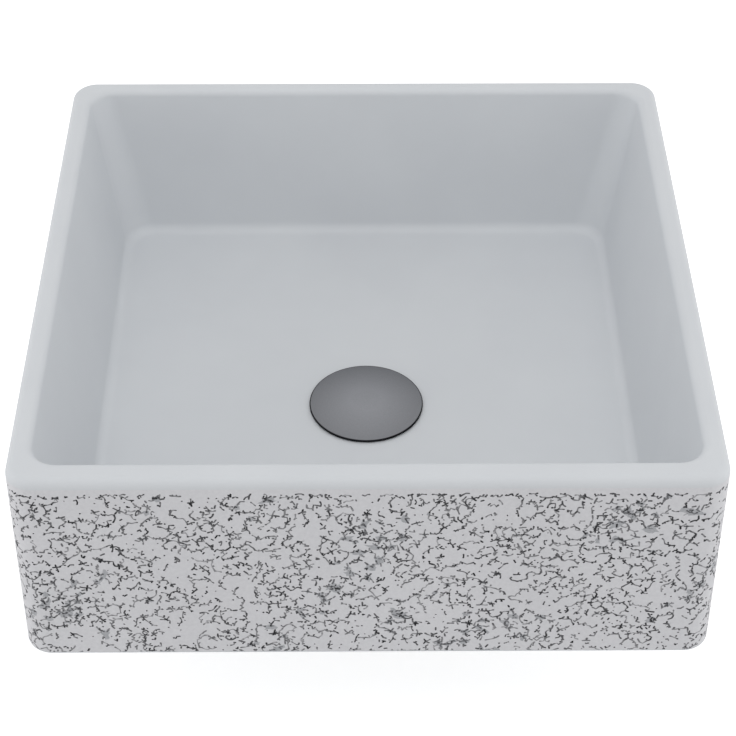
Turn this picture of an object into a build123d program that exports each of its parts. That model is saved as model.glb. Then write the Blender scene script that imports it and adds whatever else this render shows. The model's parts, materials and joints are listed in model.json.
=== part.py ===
"""A square countertop basin of cast stone with a press-top waste.

Millimetres, +Z up. The origin is where the waste's axis meets the plane that the
basin stands on, -Y is the front, and the counter lies below Z = 0.
"""

import os
from math import ceil, cos, radians, tan

from build123d import *

os.makedirs("parts", exist_ok=True)

# Basin
basin_width = 381.0
basin_depth = 381.0
basin_height = 131.0
outer_corner_radius = 15.0
rim_width = 11.7
front_rim_width = 15.6
rim_outer_radius = 5.0
rim_inner_radius = 4.8
foot_edge_radius = 1.5
bowl_depth = 100.0
bowl_draft = 10.8
bowl_corner_radius_at_rim = 15.0
bowl_corner_radius_at_floor = 20.0
floor_radius = 7.0
floor_fall = 3.0
level_border = 6.0
outlet_forward = 14.8

# Waste body: flange, threaded tube and crossbar
tube_radius = 19.05
tube_wall = 2.55
tube_below_base = 62.0
hole_clearance = 3.2
flange_radius = 32.0
flange_thickness = 2.0
flange_edge_radius = 0.6
flange_recess_clearance = 1.0
funnel_width = 4.0
funnel_depth = 3.0
thread_pitch = 2.3
thread_depth = 0.8
thread_below_base = 4.0
crossbar_width = 5.0
crossbar_height = 5.0
hub_radius = 7.5

# Cap
cap_radius = 34.7
cap_edge_height = 1.0
cap_edge_radius = 0.4
cap_dome_rise = 2.8
cap_floor_gap = 1.0
cap_hollow_radius = 24.0
cap_hollow_height = 1.5
boss_radius = 5.5
boss_height = 6.5
seal_inner_radius = 25.0
seal_width = 4.0
seal_groove_depth = 0.8
seal_squeeze_gap = 0.1
cap_travel = 9.0

# Stud and locknut
stud_radius = 3.0
stud_in_boss = 5.5
stud_in_plunger = 7.0
stud_tip_gap = 0.5
stud_fit = 0.05
stud_chamfer = 0.5
locknut_flats = 10.0
locknut_height = 3.0
locknut_to_plunger = 0.5

# Press cartridge
plunger_radius = 4.0
plunger_above_collar = 5.2
plunger_shoulder_height = 2.0
plunger_spigot_radius = 3.0
plunger_tip = 1.2
guide_clearance = 0.06
guide_seal_width = 1.6
guide_seal_height = 1.6
guide_seal_clearance = 0.1
collar_head_height = 2.0
collar_neck_height = 3.0
collar_fit = 0.05
cartridge_radius = 9.5
cartridge_wall = 1.7
cartridge_floor = 2.5
chamber_head_room = 0.5
chamber_side_room = 0.6
cartridge_thread_radius = 4.0
cartridge_thread_length = 8.0
cartridge_thread_fit = 0.05
rotor_height = 4.0
rotor_teeth = 6
rotor_tooth_gap = 1.6
rotor_tooth_depth = 1.4
rotor_fit = 0.08
clip_radius = 4.5
clip_thickness = 0.6
clip_gap = 0.1
clip_groove_depth = 0.6
clip_mouth = 2.4
spring_wire = 0.9
spring_turns = 5
spring_pitch = 1.5
spring_radius = 5.6
spring_seat_gap = 0.1
oring_height = 1.0
oring_bore_clearance = 0.3

# Gaskets, washer and nut
flange_gasket_thickness = 1.5
gasket_bore_clearance = 0.3
lower_gasket_radius = 30.0
lower_gasket_taper = 2.0
lower_gasket_thickness = 6.0
washer_radius = 29.0
washer_thickness = 1.5
counter_thickness = 20.0
nut_flats = 50.0
nut_height = 11.0
nut_chamfer = 1.5
nut_thread_clearance = 0.08

# Tailpiece
tail_radius = 15.875
tail_wall = 1.2
tail_below_base = 125.0
tail_edge_radius = 0.4
tail_collar_radius = 17.1
tail_collar_height = 11.0
tail_collar_fit = 0.05
tail_collar_recess = 0.5
tail_seal_thickness = 1.5


def ring_section(inner, outer, bottom, top, mode=Mode.ADD):
    """A rectangle of the half section, to be revolved about Z."""
    with Locations(((inner + outer) / 2, (bottom + top) / 2)):
        Rectangle(outer - inner, top - bottom, mode=mode)


def level_face(part, place):
    """The part's flat level faces, counted from the lowest."""
    return part.faces().filter_by(Axis.Z).sort_by(Axis.Z)[place]


def save(piece, name):
    """Labels a finished piece and writes its file."""
    piece.part.label = name
    export_step(piece.part, f"parts/{name}.step")


# Levels of the bowl
floor_level = basin_height - bowl_depth
outlet_level = floor_level - floor_fall
bowl_wall_run = bowl_depth * tan(radians(bowl_draft))
bowl_middle = outlet_forward + (front_rim_width - rim_width) / 2
floor_tangent = floor_radius * tan(radians((90 - bowl_draft) / 2))
recess_radius = flange_radius + flange_recess_clearance
recess_level = outlet_level - flange_thickness - flange_gasket_thickness
outlet_to_wall = min(
    basin_depth / 2 - outlet_forward - front_rim_width,
    basin_depth / 2 + outlet_forward - rim_width,
    basin_width / 2 - rim_width,
)
fall_radius = outlet_to_wall - bowl_wall_run - floor_tangent - level_border


def bowl_outline(wall_run, corner_radius):
    """The bowl's outline where its walls have come in by wall_run."""
    with Locations((0, bowl_middle)):
        RectangleRounded(
            basin_width - 2 * (rim_width + wall_run),
            basin_depth - rim_width - front_rim_width - 2 * wall_run,
            corner_radius,
        )


with BuildPart() as basin_shell:
    with BuildSketch(Plane.XY):
        with Locations((0, outlet_forward)):
            RectangleRounded(basin_width, basin_depth, outer_corner_radius)
    extrude(amount=basin_height)
    with BuildSketch(Plane.XY.offset(floor_level)):
        bowl_outline(bowl_wall_run, bowl_corner_radius_at_floor)
    with BuildSketch(Plane.XY.offset(basin_height)):
        bowl_outline(0, bowl_corner_radius_at_rim)
    loft(ruled=True, mode=Mode.SUBTRACT)
    fillet(level_face(basin_shell, -1).outer_wire().edges(), rim_outer_radius)
    fillet(level_face(basin_shell, -1).inner_wires()[0].edges(), rim_inner_radius)
    fillet(level_face(basin_shell, 0).edges(), foot_edge_radius)
    fillet(level_face(basin_shell, 1).edges(), floor_radius)
    with Locations((0, 0, (outlet_level + floor_level) / 2)):
        Cone(recess_radius, fall_radius, floor_fall, mode=Mode.SUBTRACT)
    with BuildSketch(Plane.XY.offset(recess_level)):
        Circle(recess_radius)
    extrude(amount=floor_level - recess_level, mode=Mode.SUBTRACT)
    with BuildSketch(Plane.XY):
        Circle(tube_radius + hole_clearance)
    extrude(amount=recess_level, mode=Mode.SUBTRACT)
save(basin_shell, "basin_shell")

# Levels of the waste, from the cap down
flange_bottom = outlet_level - flange_thickness
tube_bore = tube_radius - tube_wall
cap_bottom = outlet_level + cap_floor_gap
cap_edge_top = cap_bottom + cap_edge_height
cap_hollow_level = cap_bottom + cap_hollow_height
boss_bottom = cap_hollow_level - boss_height
locknut_bottom = boss_bottom - locknut_height
plunger_top = locknut_bottom - locknut_to_plunger
collar_top = plunger_top - plunger_above_collar
housing_top = collar_top - collar_head_height
chamber_top = housing_top - collar_neck_height
shoulder_top = chamber_top - chamber_head_room - cap_travel
rotor_top = shoulder_top - plunger_shoulder_height
rotor_bottom = rotor_top - rotor_height
spring_length = spring_turns * spring_pitch + spring_wire
chamber_floor = rotor_bottom - spring_length - 2 * spring_seat_gap
housing_bottom = chamber_floor - cartridge_floor
crossbar_top = housing_bottom - oring_height
crossbar_bottom = crossbar_top - crossbar_height
tail_collar_bottom = -tube_below_base + tail_collar_recess
tail_collar_top = tail_collar_bottom + tail_collar_height
tail_seal_top = tail_collar_top + tail_seal_thickness
tail_collar_bore = tail_collar_radius + tail_collar_fit
thread_count = ceil((tube_below_base - thread_below_base) / thread_pitch) - 1

with BuildPart() as drain_body:
    thread = []
    for turn in range(thread_count):
        crest = -thread_below_base - turn * thread_pitch
        thread.append((tube_radius - thread_depth, crest - thread_pitch / 2))
        thread.append((tube_radius, crest - thread_pitch))
    with BuildSketch(Plane.XZ):
        with BuildLine():
            Polyline(
                (tube_bore, tail_seal_top),
                (tube_bore, outlet_level - funnel_depth),
                (tube_bore + funnel_width, outlet_level),
                (flange_radius, outlet_level),
                (flange_radius, flange_bottom),
                (tube_radius, flange_bottom),
                (tube_radius, -thread_below_base),
                *thread,
                (tube_radius, -tube_below_base),
                (tail_collar_bore, -tube_below_base),
                (tail_collar_bore, tail_seal_top),
                close=True,
            )
        make_face()
    revolve(axis=Axis.Z)
    flange_edges = level_face(drain_body, -1).outer_wire().edges()
    fillet(flange_edges, flange_edge_radius)
    with BuildSketch(Plane.XY.offset(crossbar_bottom)):
        Rectangle(crossbar_width, 2 * tube_bore + tube_wall)
        Circle(hub_radius)
        Circle(cartridge_thread_radius + cartridge_thread_fit, mode=Mode.SUBTRACT)
    extrude(amount=crossbar_height)
save(drain_body, "drain_body")

with BuildPart() as flange_gasket:
    with BuildSketch(Plane.XZ):
        ring_section(
            tube_radius + gasket_bore_clearance,
            flange_radius - flange_edge_radius,
            recess_level,
            flange_bottom,
        )
    revolve(axis=Axis.Z)
save(flange_gasket, "flange_gasket")

# Cap and what rides on it
seal_outer_radius = seal_inner_radius + seal_width
seal_top = cap_bottom + seal_groove_depth
seal_bottom = outlet_level + seal_squeeze_gap
stud_hole_radius = stud_radius + stud_fit
stud_top = boss_bottom + stud_in_boss
stud_bottom = plunger_top - stud_in_plunger

with BuildPart() as drain_cap:
    with BuildSketch(Plane.XZ):
        with BuildLine():
            dome = TangentArc(
                (0, cap_edge_top + cap_dome_rise),
                (cap_radius, cap_edge_top),
                tangent=(1, 0),
            )
            Polyline(
                dome @ 1,
                (cap_radius, cap_bottom),
                (seal_outer_radius, cap_bottom),
                (seal_outer_radius, seal_top),
                (seal_inner_radius, seal_top),
                (seal_inner_radius, cap_bottom),
                (cap_hollow_radius, cap_bottom),
                (cap_hollow_radius, cap_hollow_level),
                (boss_radius, cap_hollow_level),
                (boss_radius, boss_bottom),
                (stud_hole_radius, boss_bottom),
                (stud_hole_radius, stud_top + stud_tip_gap),
                (0, stud_top + stud_tip_gap),
                dome @ 0,
            )
        make_face()
    revolve(axis=Axis.Z)
    rounds = drain_cap.edges().filter_by(GeomType.CIRCLE).sort_by(SortBy.RADIUS)
    fillet(rounds[-2:], cap_edge_radius)
save(drain_cap, "drain_cap")

with BuildPart() as cap_seal:
    with BuildSketch(Plane.XZ):
        ring_section(seal_inner_radius, seal_outer_radius, seal_bottom, seal_top)
    revolve(axis=Axis.Z)
save(cap_seal, "cap_seal")

with BuildPart() as cap_stud:
    with BuildSketch(Plane.XY.offset(stud_bottom)):
        Circle(stud_radius)
    extrude(amount=stud_top - stud_bottom)
    chamfer(cap_stud.edges().filter_by(GeomType.CIRCLE), stud_chamfer)
save(cap_stud, "cap_stud")

with BuildPart() as stud_locknut:
    with BuildSketch(Plane.XY.offset(locknut_bottom)):
        RegularPolygon(locknut_flats / 2, 6, major_radius=False)
        Circle(stud_hole_radius, mode=Mode.SUBTRACT)
    extrude(amount=locknut_height)
save(stud_locknut, "stud_locknut")

# Press cartridge
clip_top = rotor_bottom - clip_gap
clip_bottom = clip_top - clip_thickness
plunger_bottom = clip_bottom - plunger_tip
chamber_radius = cartridge_radius - cartridge_wall
moving_radius = chamber_radius - chamber_side_room
clip_groove_radius = plunger_spigot_radius - clip_groove_depth
guide_radius = plunger_radius + guide_clearance
guide_seal_inner = plunger_radius + guide_seal_clearance
guide_seal_outer = guide_seal_inner + guide_seal_width
guide_seal_bottom = housing_top - guide_seal_height / 2
guide_seal_top = guide_seal_bottom + guide_seal_height

with BuildPart() as plunger:
    with BuildSketch(Plane.XZ):
        with BuildLine():
            Polyline(
                (0, plunger_bottom),
                (plunger_spigot_radius, plunger_bottom),
                (plunger_spigot_radius, clip_bottom),
                (clip_groove_radius, clip_bottom),
                (clip_groove_radius, clip_top),
                (plunger_spigot_radius, clip_top),
                (plunger_spigot_radius, rotor_top),
                (moving_radius, rotor_top),
                (moving_radius, shoulder_top),
                (plunger_radius, shoulder_top),
                (plunger_radius, plunger_top),
                (stud_hole_radius, plunger_top),
                (stud_hole_radius, stud_bottom - stud_tip_gap),
                (0, stud_bottom - stud_tip_gap),
                close=True,
            )
        make_face()
    revolve(axis=Axis.Z)
save(plunger, "plunger")

with BuildPart() as cam_rotor:
    with BuildSketch(Plane.XY.offset(rotor_bottom)):
        Circle(moving_radius)
        Circle(plunger_spigot_radius + rotor_fit, mode=Mode.SUBTRACT)
        with PolarLocations(moving_radius, rotor_teeth):
            Rectangle(2 * rotor_tooth_depth, rotor_tooth_gap, mode=Mode.SUBTRACT)
    extrude(amount=rotor_height)
save(cam_rotor, "cam_rotor")

with BuildPart() as rotor_clip:
    with BuildSketch(Plane.XY.offset(clip_bottom)):
        Circle(clip_radius)
        Circle(clip_groove_radius, mode=Mode.SUBTRACT)
        with Locations((clip_radius, 0)):
            Rectangle(2 * clip_radius, clip_mouth, mode=Mode.SUBTRACT)
    extrude(amount=clip_thickness)
save(rotor_clip, "rotor_clip")

with BuildPart() as cartridge_spring:
    spring_start = chamber_floor + spring_seat_gap + spring_wire / 2
    with BuildLine(Plane.XY.offset(spring_start)) as coil:
        Helix(spring_pitch, spring_turns * spring_pitch, spring_radius)
    with BuildSketch(Plane(coil.line @ 0, z_dir=coil.line % 0)):
        Circle(spring_wire / 2)
    sweep(path=coil.line, is_frenet=True)
save(cartridge_spring, "cartridge_spring")

with BuildPart() as cartridge_housing:
    with BuildSketch(Plane.XZ):
        with BuildLine():
            Polyline(
                (0, housing_bottom - cartridge_thread_length),
                (cartridge_thread_radius, housing_bottom - cartridge_thread_length),
                (cartridge_thread_radius, housing_bottom),
                (cartridge_radius, housing_bottom),
                (cartridge_radius, housing_top),
                (chamber_radius, housing_top),
                (chamber_radius, chamber_floor),
                (0, chamber_floor),
                close=True,
            )
        make_face()
    revolve(axis=Axis.Z)
save(cartridge_housing, "cartridge_housing")

with BuildPart() as cartridge_collar:
    with BuildSketch(Plane.XZ):
        ring_section(guide_radius, chamber_radius - collar_fit, chamber_top, collar_top)
        ring_section(guide_radius, cartridge_radius, housing_top, collar_top)
        ring_section(
            guide_radius,
            guide_seal_outer,
            guide_seal_bottom,
            guide_seal_top,
            mode=Mode.SUBTRACT,
        )
    revolve(axis=Axis.Z)
save(cartridge_collar, "cartridge_collar")

with BuildPart() as guide_seal:
    with BuildSketch(Plane.XZ):
        ring_section(
            guide_seal_inner, guide_seal_outer, guide_seal_bottom, guide_seal_top
        )
    revolve(axis=Axis.Z)
save(guide_seal, "guide_seal")

with BuildPart() as cartridge_oring:
    with BuildSketch(Plane.XZ):
        ring_section(
            cartridge_thread_radius + oring_bore_clearance,
            hub_radius,
            crossbar_top,
            housing_bottom,
        )
    revolve(axis=Axis.Z)
save(cartridge_oring, "cartridge_oring")

# Clamp stack under the counter
gasket_top = -counter_thickness
washer_top = gasket_top - lower_gasket_thickness
nut_top = washer_top - washer_thickness
nut_bottom = nut_top - nut_height
nut_corner_radius = nut_flats / 2 / cos(radians(30))

with BuildPart() as lower_gasket:
    with BuildSketch(Plane.XZ):
        with BuildLine():
            Polyline(
                (tube_radius + gasket_bore_clearance, gasket_top),
                (lower_gasket_radius - lower_gasket_taper, gasket_top),
                (lower_gasket_radius, washer_top),
                (tube_radius + gasket_bore_clearance, washer_top),
                close=True,
            )
        make_face()
    revolve(axis=Axis.Z)
save(lower_gasket, "lower_gasket")

with BuildPart() as friction_washer:
    with BuildSketch(Plane.XZ):
        ring_section(
            tube_radius + gasket_bore_clearance, washer_radius, nut_top, washer_top
        )
    revolve(axis=Axis.Z)
save(friction_washer, "friction_washer")

with BuildPart() as clamp_nut:
    with BuildSketch(Plane.XY.offset(nut_bottom)):
        RegularPolygon(nut_flats / 2, 6, major_radius=False)
        Circle(tube_radius + nut_thread_clearance, mode=Mode.SUBTRACT)
    extrude(amount=nut_height)
    with BuildSketch(Plane.XZ):
        with BuildLine():
            Polyline(
                (0, nut_bottom),
                (nut_corner_radius - nut_chamfer, nut_bottom),
                (nut_corner_radius, nut_bottom + nut_chamfer / 2),
                (nut_corner_radius, nut_top - nut_chamfer / 2),
                (nut_corner_radius - nut_chamfer, nut_top),
                (0, nut_top),
                close=True,
            )
        make_face()
    revolve(axis=Axis.Z, mode=Mode.INTERSECT)
save(clamp_nut, "clamp_nut")

# Tailpiece
with BuildPart() as tailpiece:
    with BuildSketch(Plane.XZ):
        ring_section(
            tail_radius - tail_wall, tail_radius, -tail_below_base, tail_collar_top
        )
        ring_section(
            tail_radius - tail_wall,
            tail_collar_radius,
            tail_collar_bottom,
            tail_collar_top,
        )
    revolve(axis=Axis.Z)
    fillet(level_face(tailpiece, 0).outer_wire().edges(), tail_edge_radius)
save(tailpiece, "tailpiece")

with BuildPart() as tailpiece_seal:
    with BuildSketch(Plane.XZ):
        ring_section(
            tail_radius - tail_wall, tail_collar_radius, tail_collar_top, tail_seal_top
        )
    revolve(axis=Axis.Z)
save(tailpiece_seal, "tailpiece_seal")
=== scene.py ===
"""The looks of a square cast-stone basin with a press-top waste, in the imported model's frame."""

import json
import math

import bpy
import numpy as np
from mathutils import Matrix, Vector
from mathutils.geometry import delaunay_2d_cdt
from mathutils.kdtree import KDTree

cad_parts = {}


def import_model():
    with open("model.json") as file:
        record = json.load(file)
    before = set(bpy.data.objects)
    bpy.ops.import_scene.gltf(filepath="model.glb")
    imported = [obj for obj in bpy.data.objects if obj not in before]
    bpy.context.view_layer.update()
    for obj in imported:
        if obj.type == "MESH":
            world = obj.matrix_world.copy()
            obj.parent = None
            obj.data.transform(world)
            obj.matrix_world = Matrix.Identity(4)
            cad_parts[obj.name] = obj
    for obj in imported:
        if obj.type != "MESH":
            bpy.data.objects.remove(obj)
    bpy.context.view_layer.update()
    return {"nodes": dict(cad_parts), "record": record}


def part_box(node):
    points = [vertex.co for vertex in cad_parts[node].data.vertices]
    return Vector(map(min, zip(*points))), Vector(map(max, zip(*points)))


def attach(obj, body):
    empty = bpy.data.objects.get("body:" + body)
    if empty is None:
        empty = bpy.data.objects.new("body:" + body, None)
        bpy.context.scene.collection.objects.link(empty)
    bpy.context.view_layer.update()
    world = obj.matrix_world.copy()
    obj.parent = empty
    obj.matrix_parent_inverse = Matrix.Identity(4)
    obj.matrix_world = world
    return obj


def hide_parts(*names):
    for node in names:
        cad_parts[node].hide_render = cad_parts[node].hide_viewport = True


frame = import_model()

# Lengths are in millimetres until a mesh, a camera or a lamp is made
MM = 0.001
shell_low, shell_high = (np.array(corner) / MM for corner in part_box("basin_shell"))

# Basin, as the solid has it
half_width = (shell_high[0] - shell_low[0]) / 2
basin_height = shell_high[2]
basin_middle = (shell_low + shell_high) / 2
corner_steps = 18
outer_corner_radius = 15.0
corner_centre = half_width - outer_corner_radius
rim_width = 11.7
front_rim_extra = 3.9
rim_outer_radius = 5.0
rim_inner_radius = 4.8
foot_radius = 1.5
bowl_draft = math.radians(10.8)
bowl_floor = 31.0
bowl_corner_at_rim = 15.0
bowl_corner_at_floor = 20.0
floor_radius = 7.0
floor_fall = 3.0
recess_radius = 33.0
recess_depth = 3.5
hole_radius = 22.25

# Skins on the four outer walls, unrolled side by side from the middle of the left front corner
walls = ("front", "right", "back", "left")
skin_top = basin_height - rim_outer_radius - 0.2
skin_bottom = foot_radius + 0.1
skin_thickness = 5.0
corner_arc = outer_corner_radius * math.pi / 2
wall_length = 2 * corner_centre + corner_arc
perimeter = 4 * wall_length
skin_smooth_angle = 40
on_border = 1e-4

# Grooves: how deep cracks and patches go, and how far in from its outline a patch starts
crack_depth = 0.6
patch_depth = 0.3
patch_rim = 0.02

# Plates from small to large, in waves over the walls, and how many of their sides are cracks:
# fewer where the plates are large and near the rim
drawing_seed = 41
open_waves = (90, 64, 47, 36, 28, 22, 16)
cell_size = (3.4, 9.4)
cell_tries = 60000
longest_side = 30
side_share = 0.7
fewer_if_open = 0.32
fewer_near_rim = 0.2
rim_band = 16
side_start = (0.0, 0.35)
side_end = (0.65, 1.0)
starts_at_corner = 0.75
ends_at_corner = 0.7
side_bow = 0.18
side_tone = (0.45, 0.9)
side_thorns = 0.6

# Cracks: their line, their half width, and the knots, thorns and tones along them
crack_top = basin_height - 8.4
crack_step = 1.6
crack_wobble = 0.5
crack_half_width = (0.36, 0.64)
swell_power = 1.6
slim = 0.9
end_swell = (0.8, 1.2)
knot_half_width = 0.78
knot_size = (0.6, 1.2)
knot_place = 0.64
thorn_length = (1.1, 2.7)
thorn_turn = (40, 110)
thorn_darker = 1.4

# Stars where cracks meet, most with a grey web between their arms
star_share = 0.18
star_arms = (2, 5)
star_arm = (1.6, 3.8)
star_bow = 0.15
star_tone = (0.5, 0.9)
star_thorns = 0.35
web_share = 0.6
web_reach = (1.4, 2.8)
web_waist = (0.4, 0.9)

# Worn grey patches, in waves over the walls, with rays that run out and strokes across them
wear_waves = (170, 110, 75, 50)
worn_share = 0.3
worn_crowding = 8
worn_size = (1.2, 3.0)
worn_stretch = (1.0, 2.2)
worn_corners = 13
worn_uneven = (0.5, 1.2)
worn_thorns = 0.4
ray_count = (1, 4)
ray_length = (1.5, 4.5)
ray_bow = 0.12
ray_tone = (0.45, 0.75)
stroke_count = (0, 3)
stroke_length = (1.0, 2.6)
stroke_bow = 0.1
stroke_scale = 0.8
stroke_tone = (0.25, 0.6)

# Dots and strokes that stand alone, fewer of them on large plates
bits_per_mm2 = 0.045
fewer_bits_if_open = 0.55
dot_share = 0.6
dot_length = (0.9, 1.7)
dot_tone = (0.6, 1.0)
bit_length = (1.2, 3.6)
bit_bow = 0.15
bit_tone = (0.5, 1.0)
bit_thorns = 0.5

# Twigs along the smooth rim
twig_drop = (0.4, 3.2)
twig_level = 1.8
twig_steps = (1, 6)
twig_pace = (0.6, 1.1)
twig_gap = (1.2, 6.0)
twig_tone = (0.6, 1.0)
twig_thorns = 0.7

# The coarse grid that notes where something is drawn
spot_size = 0.7


def mesh_object(name, points, faces, smooth_angle=35):
    """A mesh from points in millimetres, with sharp edges where it turns by more than the angle."""
    mesh = bpy.data.meshes.new(name)
    mesh.from_pydata((np.asarray(points, float) * MM).tolist(), [], faces)
    mesh.validate()
    mesh.update()
    mesh.shade_smooth()
    mesh.set_sharp_from_angle(angle=math.radians(smooth_angle))
    made = bpy.data.objects.new(name, mesh)
    bpy.context.scene.collection.objects.link(made)
    return made


def dress(piece, body, slot, material, *nodes):
    """Puts a piece on its body, with its finish and the CAD nodes that it stands for."""
    piece.data.materials.clear()
    piece.data.materials.append(material)
    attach(piece, body)
    if nodes:
        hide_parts(*nodes)


# Materials


def colour(code):
    """An sRGB hex code as linear red, green, blue and alpha."""
    parts = [int(code[i : i + 2], 16) / 255 for i in (1, 3, 5)]
    linear = [p / 12.92 if p <= 0.04045 else ((p + 0.055) / 1.055) ** 2.4 for p in parts]
    return (*linear, 1.0)


def add(tree, kind, inputs=None, **settings):
    """Adds a node with its settings; an input is a value, or a socket to link."""
    made = tree.nodes.new(kind)
    for name, value in settings.items():
        setattr(made, name, value)
    for name, value in (inputs or {}).items():
        if isinstance(value, bpy.types.NodeSocket):
            tree.links.new(value, made.inputs[name])
        else:
            made.inputs[name].default_value = value
    return made


def new_material(name):
    """An empty material with its output, and the object's own coordinates."""
    material = bpy.data.materials.new(name)
    material.use_nodes = True
    tree = material.node_tree
    tree.nodes.clear()
    place = add(tree, "ShaderNodeTexCoord").outputs["Object"]
    return material, tree, place


def noise(tree, place, size, detail, roughness=0.5):
    """Noise from 0 to 1, with features of a size in millimetres."""
    inputs = {"Vector": place, "Scale": 1 / (size * MM), "Detail": detail, "Roughness": roughness}
    return add(tree, "ShaderNodeTexNoise", inputs).outputs["Fac"]


def blend(tree, share, one, two, kind="MIX"):
    """A colour with its share of a second colour laid over it."""
    inputs = {0: share, 6: one, 7: two}
    return add(tree, "ShaderNodeMix", inputs, data_type="RGBA", blend_type=kind).outputs[2]


def ramp(tree, value, first, last, low=0.0, high=1.0, kind="LINEAR"):
    """A value's way from first to last as a way from low to high, and level beyond it."""
    inputs = {"Value": value, 1: first, 2: last, 3: low, 4: high}
    return add(tree, "ShaderNodeMapRange", inputs, interpolation_type=kind).outputs[0]


def relief(tree, grain, strength, height):
    """The bump of a grain of a height in millimetres."""
    inputs = {"Height": grain, "Strength": strength, "Distance": height * MM}
    return add(tree, "ShaderNodeBump", inputs).outputs[0]


def finish(tree, shader):
    """Links a shader to the material's output."""
    add(tree, "ShaderNodeOutputMaterial", {"Surface": shader.outputs[0]})


def surface(tree, inputs):
    """Finishes a material with the main shader and its inputs."""
    finish(tree, add(tree, "ShaderNodeBsdfPrincipled", inputs))


def stone_ground(tree, place, dark, light):
    """The stone's own colour, faintly clouded, and its fine grain."""
    clouds = noise(tree, place, 60, 3.0)
    tint = blend(tree, clouds, colour(dark), colour(light))
    return tint, noise(tree, place, 1.4, 4.0, 0.6)


def cast_stone():
    """Cast stone, rubbed smooth and sealed: an even pale grey with a faint cloud and grain."""
    material, tree, place = new_material("cast_stone_smooth")
    tint, grain = stone_ground(tree, place, "#C9CCD0", "#D1D4D7")
    bump = relief(tree, grain, 0.25, 0.04)
    surface(tree, {"Base Color": tint, "Roughness": 0.62, "IOR": 1.5, "Normal": bump})
    return material


def skin_value(tree, name):
    """One of the values that a wall's skin holds at its points."""
    return add(tree, "ShaderNodeAttribute", attribute_name=name).outputs["Fac"]


def cracked_stone():
    """Cast stone with a stained crackle: pale mottled plates, near-black lines, grey worn patches."""
    material, tree, place = new_material("cast_stone_cracked")
    ground, grain = stone_ground(tree, place, "#D4D4D7", "#DDDDE0")
    mottle = noise(tree, place, 2.2, 3.0, 0.6)
    shade = blend(tree, mottle, colour("#E8E8E9"), colour("#FFFFFF"))
    plate = blend(tree, 1.0, ground, shade, "MULTIPLY")
    fret = noise(tree, place, 1.3, 3.0, 0.7)
    worn = blend(tree, fret, colour("#7F8185"), colour("#C3C4C8"))
    in_patch = ramp(tree, skin_value(tree, "patch"), 0.0, 0.3, kind="SMOOTHSTEP")
    unstained = blend(tree, in_patch, plate, worn)
    crack, stain = skin_value(tree, "crack"), skin_value(tree, "stain")
    in_crack = ramp(tree, crack, 0.02, 0.35, 0.0, stain, "SMOOTHSTEP")
    stained = blend(tree, in_crack, unstained, colour("#191A1E"))
    bump = relief(tree, grain, 0.35, 0.06)
    surface(tree, {"Base Color": stained, "Roughness": 0.68, "IOR": 1.5, "Normal": bump})
    return material


def painted_edge_shade(tree, place, radius):
    """Painted shade on a round piece: a little more outwards, for its dimmer reflections to the sides,
    and all of it past the radius, for its dark edge and the shadow under it.
    """
    flat = add(tree, "ShaderNodeVectorMath", {0: place, 1: (1, 1, 0)}, operation="MULTIPLY").outputs[0]
    out = add(tree, "ShaderNodeVectorMath", {0: flat}, operation="LENGTH").outputs["Value"]
    # Painted shade, up to a quarter share, for the dimmer reflections towards the sides
    outward = ramp(tree, out, 0.3 * radius * MM, radius * MM, high=0.26)
    # Painted near-black band for the dark reflecting edge and the shadow of the gap under it
    past = ramp(tree, out, (radius - 0.15) * MM, (radius + 0.1) * MM, kind="SMOOTHSTEP")
    return add(tree, "ShaderNodeMath", {0: outward, 1: past}, operation="MAXIMUM").outputs[0]


def metal(name, light, dark, roughness, grain_size, edge_radius=None):
    """A metal whose fine finish varies a little in colour and gloss, with painted shade towards its
    edge where an edge radius is given.
    """
    material, tree, place = new_material(name)
    grain = noise(tree, place, grain_size, 3.0)
    tint = blend(tree, grain, colour(light), colour(dark))
    if edge_radius:
        # Painted shade: the tint darkens outwards, and to near black past the edge radius
        tint = blend(tree, painted_edge_shade(tree, place, edge_radius), tint, colour("#1E1F22"))
    gloss = ramp(tree, grain, 0.0, 1.0, roughness * 0.85, roughness * 1.15)
    surface(tree, {"Base Color": tint, "Metallic": 1.0, "Roughness": gloss})
    return material


def moulded(name, light, dark, roughness, grain_size, bump_height):
    """Moulded rubber or plastic with the faint grain of its mould."""
    material, tree, place = new_material(name)
    grain = noise(tree, place, grain_size, 2.0)
    tint = blend(tree, grain, colour(light), colour(dark))
    bump = relief(tree, grain, 0.5, bump_height)
    surface(tree, {"Base Color": tint, "Roughness": roughness, "IOR": 1.5, "Normal": bump})
    return material


finishes = {
    "cast_stone": cast_stone(),
    "cracked_stone": cracked_stone(),
    # Brass under a thin vapour-deposited coat: dark grey with soft reflections
    "gunmetal_brass": metal("brass_gunmetal_coat", "#9A9DA1", "#8F9296", 0.34, 0.6),
    # The same coat on the cap, with painted shade that darkens it outwards and a near-black painted
    # band round its turned edge
    "gunmetal_cap": metal("brass_gunmetal_coat_cap", "#909195", "#85878B", 0.5, 0.6, 34.1),
    # Turned brass, which keeps the lathe's fine sheen
    "raw_brass": metal("brass_turned", "#D9B56A", "#C79F52", 0.3, 0.5),
    # Drawn stainless wire and rolled thread
    "stainless_steel": metal("steel_stainless_drawn", "#C4C5C6", "#AEB0B2", 0.25, 0.4),
    # Nylon, a little yellowed, with a satin skin
    "white_nylon": moulded("nylon_moulded", "#E3E0D6", "#D8D4C8", 0.45, 0.8, 0.02),
    # Black rubber, matte and slightly dusty
    "black_rubber": moulded("rubber_moulded", "#1C1C1D", "#262627", 0.75, 0.5, 0.03),
}


# The bowl: rings of rounded squares, joined one to the next


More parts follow.
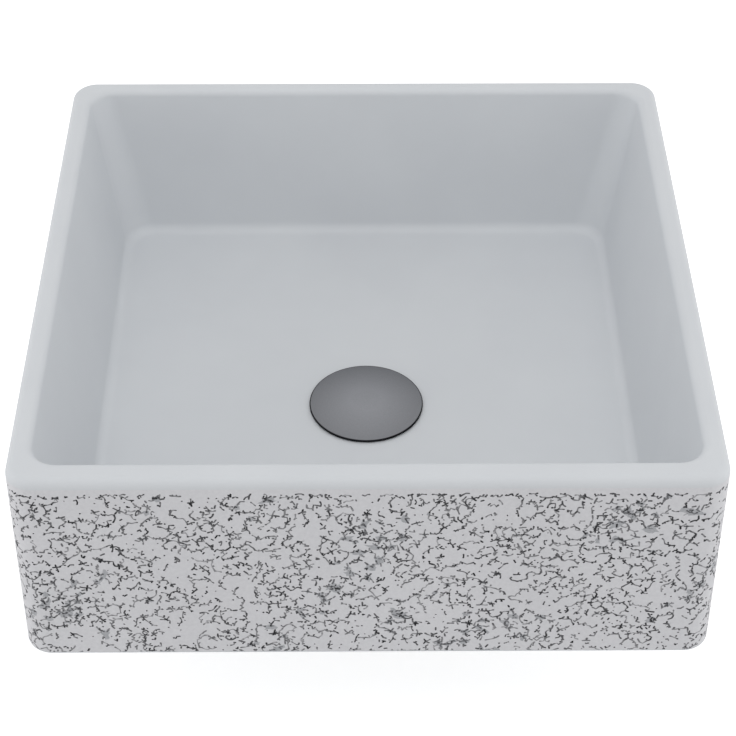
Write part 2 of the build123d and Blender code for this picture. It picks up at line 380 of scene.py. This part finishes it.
def square_ring(half, centre, z, front_extra=0.0):
    """Points of a rounded square about the basin's middle, its front side further in by front_extra."""
    points = []
    corner_radius = half - centre
    for side, (right, back) in enumerate(((1, -1), (1, 1), (-1, 1), (-1, -1))):
        centre_x = basin_middle[0] + right * centre
        centre_y = basin_middle[1] + back * centre + (front_extra if back < 0 else 0)
        for step in range(corner_steps + 1):
            angle = (side - 1 + step / corner_steps) * math.pi / 2
            x = centre_x + corner_radius * math.cos(angle)
            y = centre_y + corner_radius * math.sin(angle)
            points.append((x, y, z))
    return np.array(points)


def round_ring(radius, z, like):
    """Points of a circle about the waste, each in the direction of another ring's point."""
    angles = np.arctan2(like[:, 1], like[:, 0])
    return np.column_stack(
        (radius * np.cos(angles), radius * np.sin(angles), np.full(len(like), z))
    )


def arc(middle_u, middle_z, radius, first, last, steps):
    """Points of a fillet in the section, u inwards from the outer wall, angles in degrees."""
    turns = np.radians(np.linspace(first, last, steps + 1))
    return [(middle_u + radius * math.cos(a), middle_z + radius * math.sin(a)) for a in turns]


def bowl_mesh():
    """One closed body: rim, bowl, outlet and underside, with a ledge that the skins fill."""
    fillet_steps = 8
    foot_steps = 4
    support = 0.8
    rim_foot = basin_height - rim_outer_radius
    outer = [
        (0, skin_top),
        *arc(rim_outer_radius, rim_foot, rim_outer_radius, 180, 90, fillet_steps),
        (rim_outer_radius + support, basin_height),
    ]
    rings = [square_ring(half_width - u, corner_centre, z) for u, z in outer]

    def wall_centre(z):
        """The place of the bowl's corner axis at a level."""
        floor_half = half_width - rim_width - (basin_height - bowl_floor) * math.tan(bowl_draft)
        at_floor = floor_half - bowl_corner_at_floor
        at_rim = half_width - rim_width - bowl_corner_at_rim
        return at_floor + (at_rim - at_floor) * (z - bowl_floor) / (basin_height - bowl_floor)

    turn = math.pi / 2 - bowl_draft
    rim_tangent = rim_inner_radius * math.tan(turn / 2)
    floor_inset = rim_width + (basin_height - bowl_floor) * math.tan(bowl_draft)
    floor_tangent = floor_radius * math.tan(turn / 2)
    flat_end = rim_width - rim_tangent
    floor_start = floor_inset + floor_tangent
    wall_end = 90 - math.degrees(turn)
    inner = [
        (flat_end - support, basin_height),
        *arc(flat_end, basin_height - rim_inner_radius, rim_inner_radius, 90, wall_end, fillet_steps),
    ]
    top_u, top_z = inner[-1]
    low = arc(floor_start, bowl_floor + floor_radius, floor_radius, 180 + wall_end, 270, fillet_steps)
    run = math.hypot(low[0][0] - top_u, low[0][1] - top_z)
    for share in (support / run, 1 - support / run):
        inner.append((top_u + (low[0][0] - top_u) * share, top_z + (low[0][1] - top_z) * share))
    inner += low
    inner.append((floor_start + support, bowl_floor))
    rings += [square_ring(half_width - u, wall_centre(z), z, front_rim_extra) for u, z in inner]

    border = rings[-1]
    outlet = bowl_floor - floor_fall
    edge = round_ring(recess_radius, outlet, border)
    for share in (0.06, 0.14, 0.25, 0.4, 0.55, 0.7, 0.85, 1.0):
        ring = border + (edge - border) * share
        ease = share * share * (3 - 2 * share) * 0.4 + share * 0.6
        ring[:, 2] = bowl_floor - floor_fall * ease
        rings.append(ring)
    rings.append(round_ring(recess_radius, outlet - recess_depth, border))
    rings.append(round_ring(hole_radius, outlet - recess_depth, border))
    rings.append(round_ring(hole_radius, 0, border))
    under = [
        (foot_radius + support, 0),
        *arc(foot_radius, foot_radius, foot_radius, 270, 180, foot_steps),
        (0, skin_bottom),
        (skin_thickness, skin_bottom),
        (skin_thickness, skin_top),
    ]
    rings += [square_ring(half_width - u, corner_centre, z) for u, z in under]

    count = len(rings[0])
    faces = []
    for ring in range(len(rings)):
        this, following = ring * count, (ring + 1) % len(rings) * count
        for i in range(count):
            j = (i + 1) % count
            faces.append((this + i, this + j, following + j, following + i))
    return mesh_object("basin_bowl", np.vstack(rings), faces)


basin_bowl = bowl_mesh()
dress(basin_bowl, "basin", "cast_stone", finishes["cast_stone"], "basin_shell")


# The cracks, drawn on the unrolled walls: run goes round the basin, level goes up

draws = np.random.default_rng(drawing_seed)


def waves(lengths):
    """Smooth waves over the walls, from 0 to 1, that close on themselves round the basin."""
    parts = []
    for length in lengths:
        turns = round(perimeter / length * draws.uniform(0.8, 1.2)) * draws.choice((-1, 1))
        rise = 2 * math.pi / (length * draws.uniform(0.6, 1.3))
        parts.append((2 * math.pi * turns / perimeter, rise, draws.uniform(0, 2 * math.pi)))

    def value(run, level):
        total = sum(math.sin(a * run + b * level + c) for a, b, c in parts)
        return 0.5 + 0.5 * math.tanh(1.7 * total / math.sqrt(len(parts)))

    return value


openness = waves(open_waves)
wear = waves(wear_waves)


def cell_at(run, level):
    """The size of the plates at a place."""
    small, large = cell_size
    return small + (large - small) * openness(run, level)


def scatter(spacing_at, tries, low, high, largest):
    """Places thrown at random, none nearer to another than the spacing there."""
    columns = math.ceil(perimeter / largest)
    taken = {}
    places = []
    for run, level in zip(draws.uniform(0, perimeter, tries), draws.uniform(low, high, tries)):
        spacing = spacing_at(run, level)
        column, row = int(run / largest), int(level // largest)
        near = [
            other
            for dc in (-1, 0, 1)
            for dr in (-1, 0, 1)
            for other in taken.get(((column + dc) % columns, row + dr), ())
        ]
        gaps = ((abs(run - r), level - l) for r, l in near)
        if all(min(dr, perimeter - dr) ** 2 + dl**2 > spacing**2 for dr, dl in gaps):
            taken.setdefault((column, row), []).append((run, level))
            places.append((run, level))
    return np.array(places)


def circle_middle(a, b, c):
    """The middle of the circle through three places."""
    (ax, ay), (bx, by), (cx, cy) = a, b, c
    twice = 2 * (ax * (by - cy) + bx * (cy - ay) + cx * (ay - by))
    sa, sb, sc = ax * ax + ay * ay, bx * bx + by * by, cx * cx + cy * cy
    x = (sa * (by - cy) + sb * (cy - ay) + sc * (ay - by)) / twice
    y = (sa * (cx - bx) + sb * (ax - cx) + sc * (bx - ax)) / twice
    return np.array((x, y))


def cell_sides(places):
    """The sides of the cells round the places, as pairs of corners, once round the basin."""
    wrap = 40.0
    left = places[places[:, 0] > perimeter - wrap] - (perimeter, 0)
    right = places[places[:, 0] < wrap] + (perimeter, 0)
    points = [Vector(p) for p in np.vstack((places, left, right))]
    found = delaunay_2d_cdt(points, [], [], 0, 1e-6)
    corners, triangles = np.array([tuple(v) for v in found[0]]), found[2]
    middles, beside = [], {}
    for number, (a, b, c) in enumerate(triangles):
        middles.append(circle_middle(corners[a], corners[b], corners[c]))
        for pair in ((a, b), (b, c), (c, a)):
            beside.setdefault(frozenset(pair), []).append(number)
    sides = []
    for numbers in beside.values():
        if len(numbers) == 2:
            one, two = (middles[n] for n in numbers)
            if 0 <= (one[0] + two[0]) / 2 < perimeter and np.hypot(*(one - two)) < longest_side:
                sides.append((one, two))
    return sides


cracks, thorns, patches, spots = [], [], [], set()


def toward(heading, length):
    """A step of a length in a direction on the unrolled wall."""
    return length * np.array((math.cos(heading), math.sin(heading)))


def on_wall(points):
    """Whether points keep below the smooth rim and near the wall's lower edge."""
    levels = np.asarray(points)[:, 1]
    return levels.max() < crack_top and levels.min() > skin_bottom - 2


def spot_at(place):
    """The spot of a coarse grid over the walls that a place falls in."""
    return round(place[0] % perimeter / spot_size), round(place[1] / spot_size)


def crowded(place):
    """Whether something drawn before lies right beside a place."""
    run, level = spot_at(place)
    return any((run + i, level + j) in spots for i in (-1, 0, 1) for j in (-1, 0, 1))


def mark(points):
    """Notes the spots that a line passes."""
    for one, two in zip(points, points[1:]):
        for share in (0.0, 0.33, 0.67, 1.0):
            spots.add(spot_at(one + (two - one) * share))


def thorn(place, heading, tone, length=None):
    """A short side crack that ends in a dark knot, if there is room; says whether it was drawn."""
    tip = place + toward(heading, length or draws.uniform(*thorn_length))
    if not on_wall((place, tip)) or crowded(tip):
        return False
    wide = knot_half_width * draws.uniform(*knot_size)
    thorns.append((place, tip, wide, min(1.0, thorn_darker * tone)))
    return True


def clear_stretch(points, joining):
    """The longest stretch of a line that keeps clear of what was drawn before, but for joined ends."""
    clear = [not crowded(point) for point in points]
    for end in (0, -1):
        clear[end] = clear[end] or draws.random() < joining
    best, start = (0, 0), 0
    for i, good in enumerate([*clear, False]):
        if not good:
            best = max(best, (start, i), key=lambda stretch: stretch[1] - stretch[0])
            start = i + 1
    return points[best[0] : best[1]]


def crack(points, tone, thorny, scale=1.0, joining=0.9):
    """Draws a crack where it has room: uneven, with a knot at each end and thorns on the way."""
    points = clear_stretch(points, joining)
    if len(points) < 2 or not on_wall(points):
        return
    narrow, wide = crack_half_width
    swell = draws.uniform(0, 1, len(points)) ** swell_power
    swell[[0, -1]] = draws.uniform(*end_swell, 2)
    tones = np.minimum(1, tone * (0.6 + 0.6 * swell))
    cracks.append((np.array(points), scale * (narrow + (wide - narrow) * swell), tones))
    for one, two in zip(points, points[1:]):
        if draws.random() < thorny:
            heading = math.atan2(*(two - one)[::-1])
            heading += draws.choice((-1, 1)) * math.radians(draws.uniform(*thorn_turn))
            if thorn(one, heading, tone):
                mark(thorns[-1][:2])
    mark(points)


def crooked(start, end, bow):
    """Points along a crooked line between two places."""
    along = end - start
    length = float(np.hypot(*along))
    count = max(1, round(length / crack_step))
    across = np.array((-along[1], along[0])) / max(length, 1e-6)
    shift = bow * length * draws.normal()
    points = [start]
    for step in range(1, count):
        t = step / count
        wobble = shift * math.sin(math.pi * t) + crack_wobble * draws.normal()
        points.append(start + along * t + across * wobble)
    points.append(end)
    return points


def draw_cells():
    """Broken rings of cracks round the plates, with stars and worn patches at their corners."""
    places = scatter(cell_at, cell_tries, -8.0, basin_height, cell_size[1])
    for start, end in cell_sides(places):
        fewer = fewer_if_open * openness(*((start + end) / 2))
        if draws.random() < worn_share * wear(*start) ** worn_crowding:
            draw_worn(start)
        if draws.random() < star_share:
            draw_star(start, draws.uniform(*star_tone))
        still_fewer = fewer_near_rim * max(0.0, 1 - (crack_top - start[1]) / rim_band)
        if draws.random() > side_share - fewer - still_fewer:
            continue
        first, last = draws.uniform(*side_start), draws.uniform(*side_end)
        if draws.random() < starts_at_corner:
            first = 0.0
        if draws.random() < ends_at_corner:
            last = 1.0
        along = end - start
        line = crooked(start + first * along, start + last * along, side_bow)
        crack(line, draws.uniform(*side_tone), side_thorns)


def draw_star(middle, tone):
    """Short crooked arms that run out from a place where cracks meet, often over a grey web."""
    arms = draws.integers(*star_arms)
    turn = draws.uniform(0, 2 * math.pi)
    headings = turn + 2 * math.pi * (np.arange(arms) + draws.uniform(0, 0.6, arms)) / arms
    if arms > 2 and draws.random() < web_share and middle[1] < crack_top - 2:
        angles = np.column_stack((headings, headings + math.pi / arms)).ravel()
        reach, waist = draws.uniform(*web_reach, arms), draws.uniform(*web_waist, arms)
        radii = np.column_stack((reach, waist)).ravel()
        patches.append((middle, np.column_stack((radii * np.cos(angles), radii * np.sin(angles)))))
    for heading in headings:
        end = middle + toward(heading, draws.uniform(*star_arm))
        crack(crooked(middle, end, star_bow), tone, star_thorns, slim, joining=1.0)


def draw_worn(middle):
    """A worn grey patch with short cracks running out of it and strokes in it."""
    size = draws.uniform(*worn_size)
    if middle[1] > crack_top - size:
        return
    angles = np.linspace(0, 2 * math.pi, worn_corners, endpoint=False)
    uneven = draws.uniform(*worn_uneven, worn_corners)
    x = size * draws.uniform(*worn_stretch) * uneven * np.cos(angles)
    y = size * uneven * np.sin(angles)
    turn = draws.uniform(0, math.pi)
    c, s = math.cos(turn), math.sin(turn)
    patches.append((middle, np.column_stack((x * c - y * s, x * s + y * c))))
    rays = draws.integers(*ray_count)
    for ray in range(rays):
        heading = 2 * math.pi * (ray + draws.uniform(0, 0.8)) / rays
        start = middle + toward(heading, size * draws.uniform(0.7, 1.1))
        end = start + toward(heading + 0.35 * draws.normal(), draws.uniform(*ray_length))
        crack(crooked(start, end, ray_bow), draws.uniform(*ray_tone), worn_thorns)
    for _ in range(draws.integers(*stroke_count)):
        start = middle + size * draws.uniform(-1, 1, 2)
        end = start + toward(draws.uniform(0, 2 * math.pi), draws.uniform(*stroke_length))
        line = crooked(start, end, stroke_bow)
        crack(line, draws.uniform(*stroke_tone), worn_thorns, stroke_scale, joining=1.0)


def draw_bits():
    """Dots and faint strokes that stand alone on the plates."""
    count = round(perimeter * crack_top * bits_per_mm2)
    for run, level in zip(draws.uniform(0, perimeter, count), draws.uniform(0, crack_top, count)):
        place = np.array((run, level))
        heading = draws.uniform(0, 2 * math.pi)
        if crowded(place) or draws.random() < fewer_bits_if_open * openness(run, level):
            continue
        if draws.random() < dot_share:
            if thorn(place, heading, draws.uniform(*dot_tone), draws.uniform(*dot_length)):
                mark(thorns[-1][:2])
        else:
            end = place + toward(heading, draws.uniform(*bit_length))
            line = crooked(place, end, bit_bow)
            crack(line, draws.uniform(*bit_tone), bit_thorns, slim, joining=0.0)


def draw_border():
    """Crooked twigs that lie level below the smooth rim."""
    run = 0.0
    while run < perimeter:
        place = np.array((run, crack_top - draws.uniform(*twig_drop)))
        points = [place]
        for _ in range(draws.integers(*twig_steps)):
            drift = 0.2 * (crack_top - twig_level - place[1]) + 0.8 * draws.normal()
            drift = max(-crack_step, min(crack_step, drift))
            place = place + (crack_step * draws.uniform(*twig_pace), drift)
            points.append(place)
        crack(points, draws.uniform(*twig_tone), twig_thorns)
        run = place[0] + draws.uniform(*twig_gap)


draw_border()
draw_cells()
draw_bits()


# The skins: each wall's cracks cut into a slab as grooves


def wall_points(wall, plan, depth):
    """Where places on a wall's plan lie in space, at a depth under its face."""
    beyond = plan[:, 0] - corner_arc / 2
    along = np.clip(beyond, 0, 2 * corner_centre)
    angle = (beyond - along) / outer_corner_radius
    radius = outer_corner_radius - depth
    x = along - corner_centre + radius * np.sin(angle)
    y = -corner_centre - radius * np.cos(angle)
    for _ in range(wall):
        x, y = -y, x
    return np.column_stack((basin_middle[0] + x, basin_middle[1] + y, plan[:, 1]))


def strip(points, widths):
    """A crack's outline as quads each side of its middle line, with pointed ends."""
    ahead = np.diff(points, axis=0)
    ahead /= np.maximum(np.hypot(ahead[:, 0], ahead[:, 1]), 1e-6)[:, None]
    turn = np.vstack((ahead[:1], ahead[:-1] + ahead[1:], ahead[-1:]))
    turn /= np.maximum(np.hypot(turn[:, 0], turn[:, 1]), 1e-6)[:, None]
    side = np.column_stack((-turn[:, 1], turn[:, 0])) * widths[:, None]
    count = len(points)
    tips = (points[0] - ahead[0] * widths[0] * 0.9, points[-1] + ahead[-1] * widths[-1] * 0.9)
    corners = np.vstack((points + side, points, points - side, tips))
    faces = [
        (row + i, row + count + i, row + count + i + 1, row + i + 1)
        for i in range(count - 1)
        for row in (0, count)
    ]
    first, last = 3 * count, 3 * count + 1
    faces += [(first, count, 0), (first, 2 * count, count)]
    faces += [(last, count - 1, 2 * count - 1), (last, 2 * count - 1, 3 * count - 1)]
    return corners, faces


def near_wall(wall, points):
    """Copies of the points on a wall's own plan, if they come near it."""
    reach = 4.0
    for turn in (-perimeter, 0, perimeter):
        moved = points + (turn - wall * wall_length, 0)
        if moved[:, 0].max() > -reach and moved[:, 0].min() < wall_length + reach:
            yield moved


def thorn_outline(place, tip, wide):
    """A thorn's start, the side, middle and other side of its knot, and its tip."""
    knot = place + knot_place * (tip - place)
    ahead = (tip - place) / np.hypot(*(tip - place))
    side = wide * np.array((-ahead[1], ahead[0]))
    return np.array((place, knot + side, knot, knot - side, tip))


def wall_plan(wall):
    """A wall's cracks and patches as faces on its plan, and points along the cracks' middles."""
    points, faces, is_patch, middles = [], [], [], []
    for line, widths, tones in cracks:
        for moved in near_wall(wall, line):
            corners, quads = strip(moved, widths)
            faces += [tuple(len(points) + i for i in quad) for quad in quads]
            is_patch += [False] * len(quads)
            points += corners.tolist()
            for share in (0.0, 0.25, 0.5, 0.75):
                between = moved[:-1] + (moved[1:] - moved[:-1]) * share
                wide = widths[:-1] + (widths[1:] - widths[:-1]) * share
                tone = tones[:-1] + (tones[1:] - tones[:-1]) * share
                middles += [(x, y, w, t) for (x, y), w, t in zip(between, wide, tone)]
            middles.append((*moved[-1], widths[-1], tones[-1]))
    thorn_faces = ((0, 2, 1), (0, 3, 2), (1, 2, 4), (2, 3, 4))
    for place, tip, wide, tone in thorns:
        for moved in near_wall(wall, thorn_outline(place, tip, wide)):
            first = len(points)
            faces += [tuple(first + i for i in face) for face in thorn_faces]
            is_patch += [False] * len(thorn_faces)
            points += moved.tolist()
            middles.append((*moved[2], wide, tone))
            middles.append((*(moved[0] + moved[2]) / 2, wide / 2, tone))
    for centre, outline in patches:
        for share in (1.0, 0.5):
            for moved in near_wall(wall, centre + outline * share):
                faces.append(tuple(range(len(points), len(points) + len(moved))))
                is_patch.append(True)
                points += moved.tolist()
    return points, faces, is_patch, middles


def fold_runs():
    """Where a wall's plan is folded round its two half corners."""
    first = [corner_arc / corner_steps * i for i in range(corner_steps // 2 + 1)]
    return first + [wall_length - run for run in reversed(first)]


def fold_edges(first):
    """The ends of a plan's folds and level borders, and these as edges that count from first."""
    ends = []
    for run in fold_runs():
        ends += [[run, skin_bottom], [run, skin_top]]
    for level in (skin_bottom, skin_top):
        ends += [[0.0, level], [wall_length, level]]
    return ends, [(first + i, first + i + 1) for i in range(0, len(ends), 2)]


def cut_plan(points, faces):
    """A wall's plan cut into triangles: its points, the triangles, and the faces that own each."""
    ends, edges = fold_edges(len(points))
    found = delaunay_2d_cdt([Vector(p) for p in points + ends], edges, faces, 0, 1e-5)
    plan, triangles, owners = np.array([tuple(v) for v in found[0]]), np.array(found[2]), found[5]
    centres = plan[triangles].mean(axis=1)
    kept = (centres[:, 0] > 0) & (centres[:, 0] < wall_length)
    kept &= (centres[:, 1] > skin_bottom) & (centres[:, 1] < skin_top)
    used = np.unique(triangles[kept])
    number = np.full(len(plan), -1)
    number[used] = np.arange(len(used))
    return plan[used], number[triangles[kept]], [owner for owner, k in zip(owners, kept) if k]


def crack_values(plan, inner, edge, middles):
    """How deep in a crack each point lies, from 0 at its edge to 1, and its stain's tone."""
    nearest, shallowest = 5, 0.3
    tree = KDTree(len(middles))
    for number, (x, y, wide, tone) in enumerate(middles):
        tree.insert((x, y, 0), number)
    tree.balance()
    value, tones = np.zeros(len(plan)), np.zeros(len(plan))
    for i in np.flatnonzero(edge):
        tones[i] = middles[tree.find((*plan[i], 0))[1]][3]
    for i in np.flatnonzero(inner):
        for _, number, gap in tree.find_n((*plan[i], 0), nearest):
            wide, tone = middles[number][2:]
            here = max(shallowest, 1 - (gap / wide) ** 2)
            if here > value[i]:
                value[i], tones[i] = here, tone
    return value, tones


def outline_reach(outline, bearings):
    """How far an outline's straight sides lie from its centre, in each direction."""
    radii = np.hypot(outline[:, 0], outline[:, 1])
    angles = np.arctan2(outline[:, 1], outline[:, 0])
    ranks = np.argsort(angles)
    angles, radii = angles[ranks], radii[ranks]
    after = np.searchsorted(angles, bearings) % len(angles)
    before = after - 1
    full = 2 * math.pi
    turn = (angles[after] - angles[before]) % full
    gone = (bearings - angles[before]) % full
    sides = np.sin(gone) / radii[after] + np.sin(turn - gone) / radii[before]
    return np.sin(turn) / np.maximum(sides, 1e-6)


def patch_values(wall, places):
    """How far inside a worn patch each place lies, from 0 at its outline to 1 half way in."""
    value = np.zeros(len(places))
    for centre, outline in patches:
        farthest = np.hypot(outline[:, 0], outline[:, 1]).max()
        for moved in near_wall(wall, centre[None, :]):
            offset = places - moved[0]
            near = np.flatnonzero(np.abs(offset).max(axis=1) < farthest)
            x, y = offset[near].T
            edge = outline_reach(outline, np.arctan2(y, x))
            here = np.clip(2 * (1 - np.hypot(x, y) / edge), 0, 1)
            value[near] = np.maximum(value[near], here)
    value[value < patch_rim] = 0
    return value


def inside(places, outlines):
    """Whether each place lies inside its own outline, by counting the sides it has to its right."""
    x, y = places[:, 0, None], places[:, 1, None]
    start_x, start_y = outlines[:, :, 0], outlines[:, :, 1]
    end_x, end_y = np.roll(start_x, -1, axis=1), np.roll(start_y, -1, axis=1)
    rise = np.where(end_y == start_y, 1.0, end_y - start_y)
    crossing = start_x + (y - start_y) / rise * (end_x - start_x)
    passed = ((start_y > y) != (end_y > y)) & (x < crossing)
    return passed.sum(axis=1) % 2 == 1


def crack_triangles(places, owners, points, faces, is_patch):
    """Which triangles, given by their middles, lie inside a crack's face that owns them."""
    pairs = [(i, f) for i, owner in enumerate(owners) for f in owner if not is_patch[f]]
    numbers, claims = np.array(pairs).T
    # A face of three corners gets its last one twice, so that all outlines have four
    outlines = np.array([[points[n] for n in (*faces[f], faces[f][-1])[:4]] for f in claims])
    found = np.zeros(len(places), bool)
    found[numbers[inside(places[numbers], outlines)]] = True
    return found


def border_loop(plan):
    """The plan's border points in order: along the foot, up, back along the top and down."""
    low, high = abs(plan[:, 1] - skin_bottom) < on_border, abs(plan[:, 1] - skin_top) < on_border
    left, right = plan[:, 0] < on_border, plan[:, 0] > wall_length - on_border
    between = ~low & ~high
    sides = ((low, 0, 1), (right & between, 1, 1), (high, 0, -1), (left & between, 1, -1))
    loop = []
    for side, axis, sign in sides:
        numbers = np.flatnonzero(side)
        loop += numbers[np.argsort(sign * plan[numbers, axis], kind="stable")].tolist()
    return loop


def back_triangles(border):
    """The triangles of a skin's back, between its border's points, cut along the folds."""
    runs = {round(run, 3) for run in fold_runs()}
    folds = {}
    for i, (run, level) in enumerate(border):
        at_end = min(abs(level - skin_bottom), abs(level - skin_top)) < on_border
        if at_end and round(run, 3) in runs:
            folds.setdefault(round(run, 3), []).append(i)
    edges = [(ends[0], ends[-1]) for ends in folds.values()]
    return delaunay_2d_cdt([Vector(p) for p in border], edges, [], 0, 1e-6)[2]


def mark_sharp(mesh, kinds):
    """Keeps the shading of plates, cracks, patches and sides apart along their shared edges."""
    edge_of_loop = np.empty(len(mesh.loops), np.int32)
    mesh.loops.foreach_get("edge_index", edge_of_loop)
    totals = np.empty(len(mesh.polygons), np.int32)
    mesh.polygons.foreach_get("loop_total", totals)
    kind_of_loop = np.repeat(kinds, totals)
    lowest, highest = np.full(len(mesh.edges), 9), np.full(len(mesh.edges), -1)
    np.minimum.at(lowest, edge_of_loop, kind_of_loop)
    np.maximum.at(highest, edge_of_loop, kind_of_loop)
    sharp = mesh.attributes.get("sharp_edge") or mesh.attributes.new("sharp_edge", "BOOLEAN", "EDGE")
    marked = np.empty(len(mesh.edges), bool)
    sharp.data.foreach_get("value", marked)
    sharp.data.foreach_set("value", marked | (lowest != highest))


def wall_skin(wall):
    """One wall's skin: a slab whose face has the cracks cut in as grooves."""
    points, faces, is_patch, middles = wall_plan(wall)
    plan, triangles, owners = cut_plan(points, faces)
    centres = plan[triangles].mean(axis=1)
    in_crack = crack_triangles(centres, owners, points, faces, is_patch)
    in_patch = patch_values(wall, centres) > 0
    crack_inner = np.ones(len(plan), bool)
    crack_inner[triangles[~in_crack]] = False
    crack_edge = np.zeros(len(plan), bool)
    crack_edge[triangles[in_crack]] = True
    value, tone = crack_values(plan, crack_inner, crack_edge & ~crack_inner, middles)
    worn = patch_values(wall, plan)
    depth = crack_depth * value * (0.4 + 0.6 * tone) + patch_depth * worn

    loop = border_loop(plan)
    border = plan[loop]
    count = len(plan)
    face_list = triangles.tolist()
    # Plates are of kind 0, cracks 1, patches 2, and the slab's edges and back 3
    kinds = [1 if c else 2 if p else 0 for c, p in zip(in_crack, in_patch)]
    for i, a in enumerate(loop):
        j = (i + 1) % len(loop)
        face_list.append((loop[j], a, count + i, count + j))
    face_list += [(count + c, count + b, count + a) for a, b, c in back_triangles(border)]
    kinds += [3] * (len(face_list) - len(kinds))
    places = np.vstack((wall_points(wall, plan, depth), wall_points(wall, border, skin_thickness)))
    piece = mesh_object(f"wall_skin_{walls[wall]}", places, face_list, skin_smooth_angle)
    mark_sharp(piece.data, kinds)
    for name, numbers in (("crack", value), ("stain", tone), ("patch", worn)):
        layer = piece.data.attributes.new(name, "FLOAT", "POINT")
        layer.data.foreach_set("value", np.concatenate((numbers, np.zeros(len(border)))))
    return piece


for wall in range(len(walls)):
    dress(wall_skin(wall), "basin", "cast_stone", finishes["cracked_stone"], "basin_shell")

for name, node in frame["nodes"].items():
    slot = next(s["material_slot"] for s in frame["record"]["subparts"] if s["node"] == name)
    if name != "basin_shell":
        node.data.materials.clear()
        node.data.materials.append(finishes["gunmetal_cap" if name == "drain_cap" else slot])


# Floor, light and camera


def camera():
    """The photograph's viewpoint, as fitted to the basin's outline."""
    image_side = 736
    focal_pixels = 2120.5
    axis_row = 280.8
    pitch, yaw, roll = (math.radians(angle) for angle in (38.32, 0.43, 0.08))
    place = Vector((-6.29, -988.54, 894.63)) + Vector((0, basin_middle[1], 0))
    data = bpy.data.cameras.new("photo_view")
    data.sensor_width = 36
    data.lens = data.sensor_width * focal_pixels / image_side
    data.shift_y = (axis_row - image_side / 2) / image_side
    data.clip_start = 0.01
    data.clip_end = 50
    made = bpy.data.objects.new("photo_view", data)
    turn = (
        Matrix.Rotation(-yaw, 4, "Z")
        @ Matrix.Rotation(math.pi / 2 - pitch, 4, "X")
        @ Matrix.Rotation(roll, 4, "Z")
    )
    made.matrix_world = Matrix.Translation(place * MM) @ turn
    bpy.context.scene.collection.objects.link(made)
    bpy.context.scene.camera = made


def seen_directly(tree):
    """1 for the rays that show the background itself, in the camera, a reflection or a glass."""
    ray = add(tree, "ShaderNodeLightPath")
    seen = ray.outputs["Is Camera Ray"]
    for kind in ("Is Glossy Ray", "Is Transmission Ray"):
        more = {0: seen, 1: ray.outputs[kind]}
        seen = add(tree, "ShaderNodeMath", more, operation="MAXIMUM").outputs[0]
    return seen


def floor():
    """A wide white floor at the waste's lowest end, a little brighter to the eye than by its light."""
    low = min(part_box(name)[0][2] for name in frame["nodes"])
    side = 12.0
    lifted = 0.48
    mesh = bpy.data.meshes.new("floor")
    corners = [(-side, -side, low), (side, -side, low), (side, side, low), (-side, side, low)]
    mesh.from_pydata(corners, [], [(0, 1, 2, 3)])
    made = bpy.data.objects.new("floor", mesh)
    bpy.context.scene.collection.objects.link(made)
    material = bpy.data.materials.new("floor_white")
    material.use_nodes = True
    tree = material.node_tree
    tree.nodes.clear()
    lift = add(tree, "ShaderNodeMath", {0: seen_directly(tree), 1: lifted}, operation="MULTIPLY")
    matte = add(tree, "ShaderNodeBsdfDiffuse", {"Color": colour("#F2F2F2")})
    glow = add(tree, "ShaderNodeEmission", {"Strength": lift.outputs[0]})
    finish(tree, add(tree, "ShaderNodeAddShader", {0: matte.outputs[0], 1: glow.outputs[0]}))
    mesh.materials.append(material)


def lamp(name, place, target, size, power):
    """A large soft square lamp, in metres and watts."""
    data = bpy.data.lights.new(name, "AREA")
    data.size = size
    data.energy = power
    made = bpy.data.objects.new(name, data)
    made.location = place
    direction = Vector(target) - Vector(place)
    made.rotation_euler = direction.to_track_quat("-Z", "Y").to_euler()
    bpy.context.scene.collection.objects.link(made)


def world(strength):
    """Even white surroundings that light with a strength, and look pure white past the floor."""
    made = bpy.data.worlds.new("studio")
    made.use_nodes = True
    tree = made.node_tree
    tree.nodes.clear()
    level = ramp(tree, seen_directly(tree), 0.0, 1.0, strength, 1.0)
    sky = add(tree, "ShaderNodeBackground", {"Color": colour("#FFFFFF"), "Strength": level})
    add(tree, "ShaderNodeOutputWorld", {"Surface": sky.outputs[0]})
    bpy.context.scene.world = made


camera()
floor()
world(0.672)
lamp("top_softbox", (0.0, -0.5, 1.56), (0.0, 0.0, 0.0), 1.4, 6.6)
lamp("back_softbox", (0.0, 1.25, 1.5), (0.0, 0.0, 0.03), 1.0, 0.5)
lamp("left_softbox", (-1.8, 0.0, 0.45), (0.0, 0.0, 0.08), 1.2, 6.9)
lamp("right_softbox", (1.8, 0.0, 0.45), (0.0, 0.0, 0.08), 1.2, 6.9)
bpy.context.scene.view_settings.view_transform = "Standard"
